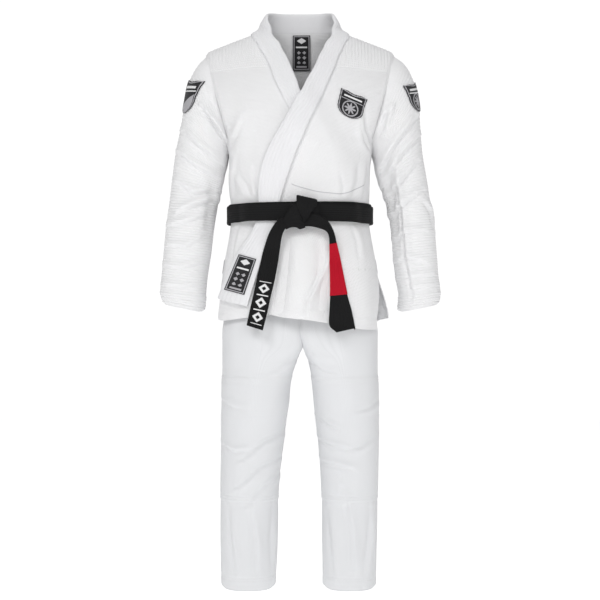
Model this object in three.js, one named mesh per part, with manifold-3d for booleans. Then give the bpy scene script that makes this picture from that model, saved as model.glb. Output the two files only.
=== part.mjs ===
// A judo / jiu-jitsu uniform as it hangs on a body: a wrap jacket, a belt tied round it and trousers.
// Every piece of cloth is a thin shell on one of four plain forms (torso, sleeve, hips, leg), cut to
// its outline, so that layers sewn over each other stay parallel with a small gap between them.
// Millimetres. +X is the wearer's left, -Y the wearer's front, +Z up. Heights count from the trouser
// hem, and the whole uniform is then hung from the point between the wearer's shoulders.
import * as THREE from "three";
import { mergeVertices } from "three/addons/utils/BufferGeometryUtils.js";
import Module from "manifold-3d";

const wasm = await Module();
wasm.setup();

// Driving sizes: cloth
const jacketCloth = 2.6;
const lapelBand = 3.4;
const trouserCloth = 2.4;
const tape = 1.8;
const patchCloth = 1.4;
const layerGap = 0.7;
const seamGap = 0.3;
const bendGap = 0.8;
const headGap = 0.5;

// Driving sizes: jacket
const collarTop = 1435;
const collarBase = 1375;
const collarThickness = 9;
const collarPly = 2.2;
const shoulderSeam = 222;
const shoulderPivot = 1262;
const shoulderRadius = 64;
const yokeFoot = 1262;
const waist = 932;
const waistHalfWidth = 179;
const waistHalfDepth = 122;
const chestHalfDepth = 126;
const skirtHem = 642;
const skirtHalfWidth = 203;
const ventTop = 795;
const sideSeam = 6;

// Driving sizes: sleeves
const sleeveHalfWidth = 62;
const sleeveHalfDepth = 64;
const sleeveSpread = 0.132;
const cuffHeight = 698;
const cuffHalfWidth = 54;
const cuffTape = 42;
const elbowHeight = 950;
const elbowRadius = 77;
const armClearance = 20;

// Driving sizes: belt
const beltWidth = 45;
const beltPly = 2.2;
const wrapShift = 2;
const tailThickness = 4.4;
const knotDepth = 21;
const rankBarLength = 118;

// Driving sizes: trousers
const waistbandTop = 1005;
const waistbandHeight = 40;
const crotchHeight = 590;
const seatHalfDepth = 108;
const trouserCentre = 4;
const legCentre = 127;
const hemHalfWidth = 68;
const thighHalfWidth = 87;
const thighHalfDepth = 98;
const legPivot = 550;
const legRadius = 118;
const kneeHeight = 330;
const kneeRadius = 103;
const kneePanelTop = 480;
const hemTape = 26;

const shoulderLine = 1330;

// Colours
const cottonWhite = new THREE.Color(0xe9e9ea);
const stitchWhite = new THREE.Color(0xdedfe1);
const beltBlack = new THREE.Color(0x1b1b1d);
const rankRed = new THREE.Color(0xc4122b);
const patchBlack = new THREE.Color(0x17171a);
const foamGrey = new THREE.Color(0x8d8d90);

const uniform = new THREE.Group();
uniform.position.set(0, 0, -shoulderLine);

// ---- solids -------------------------------------------------------------------------------------

function solidOf(geometry) {
  const bare = geometry.clone();
  bare.deleteAttribute("normal");
  bare.deleteAttribute("uv");
  const merged = mergeVertices(bare, 1e-4);
  const at = merged.attributes.position.array;
  const corners = merged.index.array;
  const kept = [];
  let volume = 0;
  for (let i = 0; i < corners.length; i += 3) {
    const [a, b, c] = [corners[i], corners[i + 1], corners[i + 2]];
    if (a === b || b === c || c === a) continue;
    kept.push(a, b, c);
    const p = new THREE.Vector3().fromArray(at, a * 3);
    const q = new THREE.Vector3().fromArray(at, b * 3);
    const r = new THREE.Vector3().fromArray(at, c * 3);
    volume += p.dot(q.cross(r)) / 6;
  }
  if (volume < 0) {
    for (let i = 0; i < kept.length; i += 3) [kept[i], kept[i + 1]] = [kept[i + 1], kept[i]];
  }
  const vertProperties = new Float32Array(at);
  return new wasm.Manifold(new wasm.Mesh({ numProp: 3, vertProperties, triVerts: new Uint32Array(kept) }));
}

function add(name, solid, colour, roughness = 0.9) {
  const mesh = solid.getMesh();
  const geometry = new THREE.BufferGeometry();
  geometry.setAttribute("position", new THREE.BufferAttribute(mesh.vertProperties, 3));
  geometry.setIndex(new THREE.BufferAttribute(mesh.triVerts, 1));
  geometry.computeVertexNormals();
  const material = new THREE.MeshStandardMaterial({ color: colour, roughness, metalness: 0 });
  const piece = new THREE.Mesh(geometry, material);
  piece.name = name;
  uniform.add(piece);
}

function box(lowX, highX, lowY, highY, lowZ, highZ) {
  const geometry = new THREE.BoxGeometry(highX - lowX, highY - lowY, highZ - lowZ);
  geometry.translate((lowX + highX) / 2, (lowY + highY) / 2, (lowZ + highZ) / 2);
  return solidOf(geometry);
}

const far = 600;
const front = box(-far, far, -far, sideSeam - seamGap / 2, -10, 1500);
const back = box(-far, far, sideSeam + seamGap / 2, far, -10, 1500);
const between = (lowZ, highZ) => box(-far, far, -far, far, lowZ, highZ);

// A cutter that goes straight through from front to back, from an outline of [x, height] points.
function through(outline) {
  const shape = new THREE.Shape(outline.map(([x, z]) => new THREE.Vector2(x, z)));
  const geometry = new THREE.ExtrudeGeometry(shape, { depth: 2 * far, bevelEnabled: false });
  geometry.rotateX(Math.PI / 2);
  geometry.translate(0, far, 0);
  return solidOf(geometry);
}

function cylinderX(y, z, radius, lowX = -far, highX = far) {
  const geometry = new THREE.CylinderGeometry(radius, radius, highX - lowX, 32);
  geometry.rotateZ(Math.PI / 2);
  geometry.translate((lowX + highX) / 2, y, z);
  return solidOf(geometry);
}

function cylinderY(x, z, radius) {
  const geometry = new THREE.CylinderGeometry(radius, radius, 2 * far, 32);
  geometry.translate(x, 0, z);
  return solidOf(geometry);
}

// ---- forms: closed rings of points at a few heights ---------------------------------------------
// A row is { z, x, y, halfWidth, halfDepth, square }: a rounded ring at that height. square is the
// power of the superellipse, 2 being an ellipse.

function formOf(rows, around) {
  const point = rows.map((row) => Array.from({ length: around }, (_, k) => {
    const turn = (2 * Math.PI * k) / around;
    const round = (value) => Math.sign(value) * Math.abs(value) ** (2 / row.square);
    const x = row.x + row.halfWidth * round(Math.cos(turn));
    const y = row.y + row.halfDepth * round(Math.sin(turn));
    return new THREE.Vector3(x, y, row.z);
  }));
  const last = rows.length - 1;
  const normal = point.map((ring, j) => ring.map((_, k) => {
    const along = point[Math.min(j + 1, last)][k].clone().sub(point[Math.max(j - 1, 0)][k]);
    const across = ring[(k + 1) % around].clone().sub(ring[(k + around - 1) % around]);
    return across.cross(along).normalize();
  }));
  return { point, normal, around, count: rows.length };
}

const amount = (offset, place) => (typeof offset === "function" ? offset(place) : offset);

// The cloth between two offsets from a form, as one closed tube wall.
function shell(form, inner, outer) {
  const { point, normal, around, count } = form;
  const profile = Array.from({ length: 2 * count + 1 }, (_, m) => new THREE.Vector2(1, m));
  const geometry = new THREE.LatheGeometry(profile, around);
  const at = geometry.attributes.position;
  for (let i = 0; i <= around; i++) {
    for (let m = 0; m <= 2 * count; m++) {
      const step = m % (2 * count);
      const outside = step < count;
      const j = outside ? step : 2 * count - 1 - step;
      const base = point[j][i % around];
      const spot = base.clone().addScaledVector(normal[j][i % around], amount(outside ? outer : inner, base));
      at.setXYZ(i * (2 * count + 1) + m, spot.x, spot.y, spot.z);
    }
  }
  return solidOf(geometry);
}

// Everything inside a form, grown by an offset.
function filled(form, offset) {
  const { point, normal, around, count } = form;
  const profile = Array.from({ length: count + 2 }, (_, m) => new THREE.Vector2(1, m));
  const geometry = new THREE.LatheGeometry(profile, around);
  const at = geometry.attributes.position;
  const centre = (ring) => ring.reduce((sum, p) => sum.add(p), new THREE.Vector3()).divideScalar(around);
  const ends = [centre(point[0]), centre(point[count - 1])];
  for (let i = 0; i <= around; i++) {
    for (let m = 0; m < count + 2; m++) {
      let spot = m === 0 ? ends[0] : ends[1];
      if (m > 0 && m <= count) {
        const base = point[m - 1][i % around];
        spot = base.clone().addScaledVector(normal[m - 1][i % around], amount(offset, base));
      }
      at.setXYZ(i * (count + 2) + m, spot.x, spot.y, spot.z);
    }
  }
  return solidOf(geometry);
}

const row = (z, halfWidth, halfDepth, y = 0, square = 2.4, x = 0) => ({ z, x, y, halfWidth, halfDepth, square });

// ---- jacket body --------------------------------------------------------------------------------

const torso = formOf([
  row(skirtHem - 6, skirtHalfWidth, 150),
  row(ventTop - 50, skirtHalfWidth - 6, 143),
  row(850, waistHalfWidth + 8, 130),
  row(waist - 28, waistHalfWidth, waistHalfDepth),
  row(985, waistHalfWidth, waistHalfDepth),
  row(1085, waistHalfWidth - 4, chestHalfDepth, 2),
  row(1140, 200, chestHalfDepth - 2, 4, 2.6),
  row(1190, 236, chestHalfDepth - 9, 6, 2.8),
  row(1245, 262, 106, 8, 2.6),
  row(1290, 258, 90, 10, 2.4),
  row(1328, 236, 76, 11, 2.2),
  row(1355, 169, 68, 12, 2.2),
  row(collarBase + 5, 111, 64, 12, 2.2),
  row(1410, 98, 60, 14, 2.2),
  row(collarTop, 88, 56, 16, 2.2),
], 24);

// How far round from the front centre a place on the torso is, in degrees.
const turnFromFront = (p) => THREE.MathUtils.radToDeg(Math.atan2(Math.abs(p.x) / waistHalfWidth, -p.y / chestHalfDepth));
const fade = (value, full, none) => THREE.MathUtils.clamp((value - none) / (full - none), 0, 1);

// The under front's band lies on its panel, the outer front on both, and its own band on top. The
// outer front comes down to the body at its side seam and above the crossing of the lapels.
const bandLow = jacketCloth + layerGap;
const bandHigh = bandLow + lapelBand - 0.4;
const overlapHeight = bandHigh + layerGap;
function outerFrontLow(p) {
  const wearersLeft = p.x > 0;
  const side = fade(turnFromFront(p), wearersLeft ? 66 : 48, 88);
  const least = wearersLeft ? 0 : bandLow;
  return (least + (overlapHeight - least) * side) * fade(p.z, 1245, 1328);
}
const outerFrontHigh = (p) => outerFrontLow(p) + jacketCloth;
const outerBandLow = (p) => outerFrontHigh(p) + layerGap + 0.6 * fade(p.z, 1328, 1245);
const outerBandHigh = (p) => outerBandLow(p) + lapelBand;
function beltLow(p) {
  const side = fade(turnFromFront(p), p.x > 0 ? 66 : 50, 90);
  const least = jacketCloth + layerGap;
  return least + (overlapHeight + jacketCloth + lapelBand + layerGap - jacketCloth) * side;
}

const bodyCloth = shell(torso, 0, jacketCloth);
const outerFrontCloth = shell(torso, outerFrontLow, outerFrontHigh);
const underBandCloth = shell(torso, bandLow, bandHigh);
const outerBandCloth = shell(torso, outerBandLow, outerBandHigh);
const onBody = (thickness) => shell(torso, jacketCloth + layerGap, jacketCloth + layerGap + thickness);
const onOuterFront = (thickness) => shell(torso, outerBandLow, (p) => outerBandLow(p) + thickness);

const betweenSeams = box(-shoulderSeam + seamGap, shoulderSeam - seamGap, -far, far, -10, 1500);
const belowCollar = between(0, collarBase - seamGap);

// Front edges, from the neck down to the hem, as [x, height].
const outerFreeEdge = [[89, 1445], [76, 1380], [26, 1285], [1, 1240], [-31, 1180], [-66, 1125], [-94, 1063],
  [-101, 1025], [-101, 970], [-106, 910], [-156, 830], [-199, 723]];
const outerSeamEdge = [[150, 1445], [121, 1378], [91, 1310], [39, 1195], [4, 1125], [-24, 1055], [-49, 970],
  [-58, 910], [-92, 830], [-124, 705]];
const underFreeEdge = [[-74, 1445], [-61, 1385], [-14, 1285], [1, 1242], [31, 1180], [66, 1125], [94, 1063],
  [101, 1025], [101, 970], [104, 910], [130, 830], [148, 712]];
const underSeamEdge = [[-150, 1445], [-104, 1380], [-86, 1327], [-51, 1242], [-34, 1215], [-4, 1125], [24, 1055],
  [49, 970], [54, 910], [76, 830], [92, 700]];
const down = (edge) => [...edge].reverse();
const shifted = (edge, x) => edge.map(([at, z]) => [at + x, z]);
const bandCover = 18;

const outerPanel = through([...shifted(outerFreeEdge.slice(0, -1), bandCover), [-150, 716], [-84, 687], [11, 665],
  [111, 648], [260, skirtHem], [260, 1445]]);
const underPanel = through([...shifted(underFreeEdge.slice(0, -1), -bandCover), [118, 690], [-126, 665],
  [-260, 672], [-260, 1445]]);
const backPanel = through([[-260, 668], [0, 662], [260, 668], [260, 1445], [-260, 1445]]);
const vent = box(-far, far, sideSeam - 5, sideSeam + 5, 0, ventTop);

const torsoCut = (cloth, outline, half) => cloth.intersect(outline).intersect(half)
  .intersect(betweenSeams).intersect(belowCollar).subtract(vent);
add("jacket_back", torsoCut(bodyCloth, backPanel, back), cottonWhite);
add("jacket_front_right", torsoCut(bodyCloth, underPanel, front), cottonWhite);
add("jacket_front_left", torsoCut(outerFrontCloth, outerPanel, front), cottonWhite);

// Lapels: one stiff band round the whole front edge, joined to the collar at the sides of the neck.
const neckSide = -8;
const lapelHalf = box(-far, far, -far, neckSide - seamGap / 2, 0, 1500);
const lapelEnd = [[-199, 723], [-124, 705]];
add("lapel_right", underBandCloth.intersect(through([...underFreeEdge, ...down(underSeamEdge)]))
  .intersect(lapelHalf), cottonWhite);
add("lapel_left", outerBandCloth.intersect(through([...outerFreeEdge, lapelEnd[1], ...down(outerSeamEdge)]))
  .intersect(lapelHalf), cottonWhite);

// Collar: a folded cover, open along its lower edge, round a foam core.
const collarIn = -1.5;
const collarOut = collarIn + collarThickness;
const neckBack = box(-far, far, neckSide + seamGap / 2, far, collarBase, 1500);
const coreSlot = shell(torso, collarIn + collarPly, collarOut - collarPly)
  .intersect(box(-far, far, neckSide - 5, far, 0, collarTop - collarPly));
add("collar_cover", shell(torso, collarIn, collarOut).intersect(neckBack).subtract(coreSlot), cottonWhite);
add("collar_core", shell(torso, collarIn + collarPly + seamGap, collarOut - collarPly - seamGap)
  .intersect(box(-far, far, neckSide + 1, far, collarBase + 0.5, collarTop - collarPly - seamGap)), foamGrey);

// Shoulder reinforcement, folded over the shoulder line on both sides of the neck.
const yokeOutline = [[136, 1400], [112, 1310], [96, yokeFoot], [shoulderSeam - 1, yokeFoot],
  [shoulderSeam - 1, 1400]];
const yokeRegion = (side) => through(yokeOutline.map(([x, z]) => [side * x, z])).intersect(belowCollar);
const yokeLift = 0.8;
add("shoulder_yoke_left", shell(torso, (p) => outerBandLow(p) + yokeLift, (p) => outerBandLow(p) + yokeLift + tape)
  .intersect(yokeRegion(1)), stitchWhite);
add("shoulder_yoke_right", onBody(tape + yokeLift).subtract(onBody(yokeLift)).intersect(yokeRegion(-1)), stitchWhite);

// Armpit gussets and the small patches that stop the side vents tearing.
for (const [side, name] of [[1, "left"], [-1, "right"]]) {
  const gusset = box(-far, far, sideSeam - 26, sideSeam + 26, 1012, 1058);
  const ventPatch = box(-far, far, sideSeam - 20, sideSeam + 20, ventTop + 1, ventTop + 38);
  const half = box(side > 0 ? 0 : -far, side > 0 ? far : 0, -far, far, 0, 1500);
  const sewnOn = side > 0 ? onOuterFront(tape) : onBody(tape);
  add(`armpit_gusset_${name}`, sewnOn.intersect(gusset).intersect(half), stitchWhite);
  add(`side_vent_patch_${name}`, sewnOn.intersect(ventPatch).intersect(half), stitchWhite);
}

// Labels and patches sewn on the jacket.
const turned = (outline, degrees, x, z) => outline.map(([u, v]) => {
  const angle = THREE.MathUtils.degToRad(degrees);
  return [x + u * Math.cos(angle) - v * Math.sin(angle), z + u * Math.sin(angle) + v * Math.cos(angle)];
});
const rectangle = (width, height) => [[-width / 2, -height / 2], [width / 2, -height / 2],
  [width / 2, height / 2], [-width / 2, height / 2]];
const shield = (width, height) => [[-width / 2, height / 2], [-width / 2, -height * 0.05],
  [-width * 0.33, -height * 0.33], [0, -height / 2], [width * 0.33, -height * 0.33],
  [width / 2, -height * 0.05], [width / 2, height / 2]];
add("neck_label", shell(torso, -layerGap - patchCloth, -layerGap)
  .intersect(through(turned(rectangle(44, 84), 0, 3, 1331))).intersect(back), patchBlack);
add("chest_patch", onOuterFront(patchCloth).intersect(through(turned(shield(72, 74), -24, 124, 1212)))
  .intersect(front), patchBlack);
add("lapel_label", shell(torso, (p) => outerBandHigh(p) + layerGap, (p) => outerBandHigh(p) + layerGap + patchCloth)
  .intersect(through(turned(rectangle(42, 92), -21, -147, 781))).intersect(front), patchBlack);

// ---- sleeves ------------------------------------------------------------------------------------

const torsoSpace = filled(torso, (p) => outerFrontHigh(p) + seamGap);
const axisAt = (z) => shoulderSeam + (shoulderPivot - z) * sleeveSpread;

function sleeveForm(side) {
  const at = (z, halfWidth, halfDepth) => row(z, halfWidth, halfDepth, 6, 2.1, side * axisAt(z));
  return formOf([
    at(cuffHeight - 2, cuffHalfWidth - jacketCloth, cuffHalfWidth - 2),
    at(cuffHeight + cuffTape + 6, cuffHalfWidth, cuffHalfWidth),
    at(875, sleeveHalfWidth - 6, sleeveHalfDepth - 6),
    at(elbowHeight, sleeveHalfWidth - 1, sleeveHalfDepth - 4),
    at(1085, sleeveHalfWidth + 1, sleeveHalfDepth),
    at(1200, sleeveHalfWidth - 3, sleeveHalfDepth),
    at(shoulderPivot + 10, sleeveHalfWidth - 5, sleeveHalfDepth),
  ], 16);
}

for (const [side, name] of [[1, "left"], [-1, "right"]]) {
  const form = sleeveForm(side);
  const cloth = shell(form, 0, jacketCloth).intersect(between(cuffHeight, 1500));
  const pivot = side * shoulderSeam;
  const elbowSocket = cylinderX(6, elbowHeight, elbowRadius);
  const aboveElbow = between(elbowHeight, 1500);
  const upper = cloth.subtract(cylinderY(pivot, shoulderPivot, shoulderRadius)).subtract(torsoSpace)
    .intersect(between(0, shoulderPivot))
    .intersect(aboveElbow.add(cylinderX(6, elbowHeight, elbowRadius - bendGap)));
  add(`sleeve_upper_${name}`, upper, cottonWhite);
  add(`sleeve_lower_${name}`, cloth.subtract(elbowSocket).subtract(aboveElbow), cottonWhite);
  add(`cuff_tape_${name}`, shell(form, jacketCloth + layerGap, jacketCloth + layerGap + tape)
    .intersect(between(cuffHeight, cuffHeight + cuffTape)), stitchWhite);

  const dome = new THREE.SphereGeometry(1, 24, 10);
  const ball = (grow) => solidOf(dome.clone().scale(shoulderRadius - headGap - grow,
    sleeveHalfDepth + jacketCloth - grow, shoulderRadius - headGap - grow).translate(pivot, 6, shoulderPivot));
  const outside = side > 0 ? box(pivot + seamGap, far, -far, far, 0, 1500) : box(-far, pivot - seamGap, -far, far, 0, 1500);
  const passage = filled(form, -armClearance).intersect(between(0, shoulderPivot));
  add(`sleeve_head_${name}`, ball(0).subtract(ball(jacketCloth)).intersect(outside).subtract(passage), cottonWhite);

  const patchLayer = shell(form, jacketCloth + layerGap, jacketCloth + layerGap + patchCloth);
  const outerSide = side > 0 ? box(axisAt(1200) + 8, far, -far, far, 0, 1500)
    : box(-far, -axisAt(1200) - 8, -far, far, 0, 1500);
  const sleeveShield = new THREE.Shape(shield(70, 68).map(([y, z]) => new THREE.Vector2(y, z)));
  const sideways = new THREE.ExtrudeGeometry(sleeveShield, { depth: 200, bevelEnabled: false });
  sideways.rotateX(Math.PI / 2).rotateZ(Math.PI / 2).translate(side > 0 ? 200 : -400, -14, 1190);
  add(`shoulder_patch_${name}`, patchLayer.intersect(solidOf(sideways)).intersect(outerSide), patchBlack);
}

// ---- belt ---------------------------------------------------------------------------------------

const wrap = (order) => shell(torso, (p) => beltLow(p) + order * (beltPly + layerGap),
  (p) => beltLow(p) + order * (beltPly + layerGap) + beltPly);
const beltBand = (shift) => between(waist - beltWidth / 2 + shift, waist + beltWidth / 2 + shift);
add("belt_inner_wrap", wrap(0).intersect(beltBand(-wrapShift)), beltBlack);
add("belt_outer_wrap", wrap(1).intersect(beltBand(wrapShift)), beltBlack);

const beltFace = waistHalfDepth + beltLow(new THREE.Vector3(0, -1, waist)) + 2 * beltPly + layerGap;
const knotBack = -beltFace - seamGap;
function slab(outline, frontY, backY) {
  const shape = new THREE.Shape(outline.map(([x, z]) => new THREE.Vector2(x, z)));
  const bevel = { depth: backY - frontY - 6, bevelThickness: 3, bevelSize: 3, bevelOffset: -3, bevelSegments: 2 };
  const geometry = new THREE.ExtrudeGeometry(shape, bevel);
  geometry.rotateX(Math.PI / 2).translate(0, backY - 3, 0);
  return solidOf(geometry);
}
add("belt_knot", slab([[-58, 912], [-50, 962], [-8, 967], [44, 962], [50, 918], [22, 902], [-1, 893]],
  knotBack - knotDepth, knotBack), beltBlack);
const knotLoop = [[-18, 972], [44, 969], [30, 938], [8, 912], [-8, 940]];
add("belt_knot_loop", slab(knotLoop, knotBack - knotDepth - seamGap - 9, knotBack - knotDepth - seamGap), beltBlack);

const tailTop = waist - beltWidth / 2 - wrapShift - layerGap;
const tailLow = (p) => Math.max(beltLow(p), 6) + layerGap;
const tailCloth = shell(torso, tailLow, (p) => tailLow(p) + tailThickness).intersect(front);
const tailLeftPlan = through([[62, tailTop], [84, tailTop], [103, 850], [123, 730], [138, 652], [98, 641], [86, 650],
  [76, 750], [66, 850]]);
const tailRightPlan = through([[-86, tailTop], [-44, tailTop], [-46, 862], [-62, 775], [-90, 643], [-132, 655],
  [-106, 775], [-92, 862]]);
add("belt_tail_left", tailCloth.intersect(tailLeftPlan), beltBlack);
add("belt_tail_right", tailCloth.intersect(tailRightPlan), beltBlack);
const rankBar = shell(torso, (p) => tailLow(p) + tailThickness + layerGap, (p) => tailLow(p) + tailThickness + layerGap + tape);
add("belt_rank_bar", rankBar.intersect(front).intersect(tailLeftPlan)
  .intersect(between(850 - rankBarLength, 850)), rankRed);
add("belt_tail_motif", rankBar.intersect(front)
  .intersect(through(turned(rectangle(26, 84), -15, -98, 722))), cottonWhite);

// ---- trousers -----------------------------------------------------------------------------------

// The seat lies against the jacket's back under the belt.
const casingFoot = waistbandTop - waistbandHeight;
const trouserBack = waistHalfDepth - layerGap;
const insideWaist = 16;
const hips = formOf([
  row(crotchHeight, legCentre + hemHalfWidth, seatHalfDepth, trouserCentre),
  row(700, skirtHalfWidth - insideWaist, 112, trouserCentre),
  row(820, waistHalfWidth - 3, 110, trouserCentre),
  row(920, waistHalfWidth - insideWaist, 102, trouserBack - 102 - trouserCloth),
  row(casingFoot, waistHalfWidth - insideWaist - 2, 100, trouserBack - 100 - 2 * trouserCloth),
  row(waistbandTop, waistHalfWidth - insideWaist - 5, 98, trouserBack - 98 - 2 * trouserCloth),
], 20);
const hipCloth = shell(hips, 0, trouserCloth);

function legForm(side) {
  const taper = (z) => fade(z, 0, kneePanelTop + 30);
  const at = (z) => {
    const share = taper(z);
    const halfWidth = hemHalfWidth + (thighHalfWidth - hemHalfWidth) * (1 - share) ** 1.6;
    const halfDepth = 72 + (thighHalfDepth - 72) * (1 - share);
    return row(z, halfWidth - trouserCloth, halfDepth - trouserCloth, trouserCentre, 2.2,
      side * (legCentre + hemHalfWidth - halfWidth));
  };
  return formOf([at(-2), at(160), at(kneeHeight), at(430), at(crotchHeight + 8)], 16);
}

const drawcordOutlets = cylinderY(26, waistbandTop - waistbandHeight / 2, 5)
  .add(cylinderY(-26, waistbandTop - waistbandHeight / 2, 5)).intersect(front);
add("waistband_casing", shell(hips, 0, 2 * trouserCloth).intersect(between(casingFoot, waistbandTop))
  .subtract(drawcordOutlets), cottonWhite);

for (const [side, name] of [[1, "left"], [-1, "right"]]) {
  const form = legForm(side);
  const cloth = shell(form, 0, trouserCloth).intersect(between(0, 1500));
  const half = side > 0 ? box(seamGap / 2, far, -far, far, 0, 1500) : box(-far, -seamGap / 2, -far, far, 0, 1500);
  const legJoint = cylinderX(trouserCentre, legPivot, legRadius - bendGap);
  const legTop = between(legPivot, 1500);
  const kneeJoint = cylinderX(trouserCentre, kneeHeight, kneeRadius - bendGap);
  const kneeSocket = cylinderX(trouserCentre, kneeHeight, kneeRadius);
  const aboveKnee = between(kneeHeight, 1500);

  const stub = cloth.intersect(legJoint.add(legTop)).intersect(half);
  const seat = hipCloth.intersect(between(0, casingFoot - seamGap)).intersect(half);
  add(`trouser_seat_${name}`, seat.add(stub), cottonWhite);

  const leg = cloth.subtract(cylinderX(trouserCentre, legPivot, legRadius)).subtract(legTop);
  add(`trouser_thigh_${name}`, leg.intersect(aboveKnee.add(kneeJoint)), cottonWhite);
  add(`trouser_shin_${name}`, leg.subtract(aboveKnee).subtract(kneeSocket), cottonWhite);

  const panel = shell(form, trouserCloth + layerGap, trouserCloth + layerGap + tape)
    .intersect(box(-far, far, -far, 0, hemTape + layerGap, kneePanelTop))
    .subtract(cylinderX(trouserCentre, legPivot, legRadius));
  add(`knee_panel_upper_${name}`, panel.intersect(aboveKnee.add(kneeJoint)), stitchWhite);
  add(`knee_panel_lower_${name}`, panel.subtract(aboveKnee).subtract(kneeSocket), stitchWhite);
  add(`leg_hem_tape_${name}`, shell(form, trouserCloth + layerGap, trouserCloth + layerGap + tape)
    .intersect(between(0, hemTape)), stitchWhite);

  const loop = box(side * 70 - 6, side * 70 + 6, -140, -60, casingFoot + 4, waistbandTop - 4);
  const loopCloth = shell(hips, 2 * trouserCloth + 0.5, 2 * trouserCloth + 4.5);
  const cordWay = shell(hips, 2 * trouserCloth, 2 * trouserCloth + 3)
    .intersect(between(casingFoot + 7, waistbandTop - 7));
  add(`drawcord_loop_${name}`, loopCloth.intersect(loop).subtract(cordWay).intersect(front), stitchWhite);
}

const gussetHalf = legCentre + hemHalfWidth - 2 * thighHalfWidth - layerGap;
const gussetReach = seatHalfDepth - 1.8;
add("crotch_gusset", box(-gussetHalf, gussetHalf, trouserCentre - gussetReach, trouserCentre + gussetReach,
  crotchHeight - 2, crotchHeight + 2), stitchWhite);

export default uniform;
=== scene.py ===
"""A jiu-jitsu uniform on an unseen body: wrap jacket, tied belt and trousers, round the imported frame."""
import math

import bmesh
import bpy
import numpy as np
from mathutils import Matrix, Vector


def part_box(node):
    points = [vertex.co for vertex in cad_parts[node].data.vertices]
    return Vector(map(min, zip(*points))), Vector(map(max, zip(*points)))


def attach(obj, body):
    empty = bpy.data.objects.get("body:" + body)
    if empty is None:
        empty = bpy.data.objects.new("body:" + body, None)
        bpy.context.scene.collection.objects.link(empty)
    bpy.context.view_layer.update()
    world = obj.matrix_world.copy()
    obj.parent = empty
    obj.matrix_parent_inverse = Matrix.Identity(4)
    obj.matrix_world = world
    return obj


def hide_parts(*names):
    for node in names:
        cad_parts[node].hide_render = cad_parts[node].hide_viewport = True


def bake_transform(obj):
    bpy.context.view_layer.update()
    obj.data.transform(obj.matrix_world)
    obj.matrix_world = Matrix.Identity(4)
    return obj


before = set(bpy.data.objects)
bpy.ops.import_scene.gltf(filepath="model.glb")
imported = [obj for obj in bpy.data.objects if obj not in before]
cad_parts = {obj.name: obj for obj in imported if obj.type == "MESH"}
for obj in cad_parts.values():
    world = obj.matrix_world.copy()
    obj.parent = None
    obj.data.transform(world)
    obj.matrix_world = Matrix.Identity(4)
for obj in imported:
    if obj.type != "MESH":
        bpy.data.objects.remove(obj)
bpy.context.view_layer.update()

# ---- Studio -------------------------------------------------------------------------------------
# A pale floor, a broad sky of white light and three soft lamps, the strongest from the upper left,
# so that white cloth still shows its folds. The camera looks level from the height of the belt tails.

shoulder_line = 1.330
view_distance = 3.2
view_height = 0.7175 - shoulder_line
picture_width = 1.5


def linear(hex_colour):
    """An sRGB hex colour as linear light, with alpha."""
    channels = [int(hex_colour[i:i + 2], 16) / 255 for i in (1, 3, 5)]
    return [c / 12.92 if c <= 0.04045 else ((c + 0.055) / 1.055) ** 2.4 for c in channels] + [1.0]


def add_node(tree, kind, settings=None, **inputs):
    """Adds a shader node, sets its properties, and sets or links its inputs by name."""
    node = tree.nodes.new(kind)
    for key, value in (settings or {}).items():
        setattr(node, key, value)
    for key, value in inputs.items():
        socket = node.inputs[int(key[1:])] if key[0] == "_" else node.inputs[key.replace("_", " ")]
        if isinstance(value, bpy.types.NodeSocket):
            tree.links.new(value, socket)
        else:
            socket.default_value = value
    return node


camera = bpy.data.objects.new("camera", bpy.data.cameras.new("camera"))
bpy.context.scene.collection.objects.link(camera)
camera.location = (0, -view_distance, view_height)
camera.rotation_euler = (math.radians(90), 0, 0)
camera.data.sensor_width = 36
camera.data.lens = 36 * view_distance / picture_width
bpy.context.scene.camera = camera

# The sky is seen pure white but lights the cloth softly.
world = bpy.data.worlds.new("studio")
bpy.context.scene.world = world
world.use_nodes = True
sky = world.node_tree
sky_light, sky_seen = sky.nodes["Background"], add_node(sky, "ShaderNodeBackground", Strength=1.05)
sky_light.inputs["Color"].default_value = sky_seen.inputs["Color"].default_value = (1.0, 1.0, 1.0, 1.0)
sky_light.inputs["Strength"].default_value = 0.37
seen_directly = add_node(sky, "ShaderNodeLightPath").outputs["Is Camera Ray"]
sky_mix = add_node(sky, "ShaderNodeMixShader", Fac=seen_directly)
sky.links.new(sky_light.outputs[0], sky_mix.inputs[1])
sky.links.new(sky_seen.outputs[0], sky_mix.inputs[2])
sky.links.new(sky_mix.outputs[0], sky.nodes["World Output"].inputs["Surface"])
bpy.context.scene.view_settings.view_transform = "Standard"

for lamp_name, place, size, power in (("key", (-1.7, -3.5, 2.3), 1.4, 57),
                                      ("front", (1.3, -3.8, 1.5), 2.0, 40),
                                      ("top", (0, 1.2, 3.0), 2.0, 20)):
    lamp = bpy.data.objects.new(lamp_name, bpy.data.lights.new(lamp_name, "AREA"))
    lamp.data.size = size
    lamp.data.energy = power
    lamp.location = place
    lamp.rotation_euler = (Vector((0, 0, -0.4)) - Vector(place)).to_track_quat("-Z", "Y").to_euler()
    bpy.context.scene.collection.objects.link(lamp)

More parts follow.
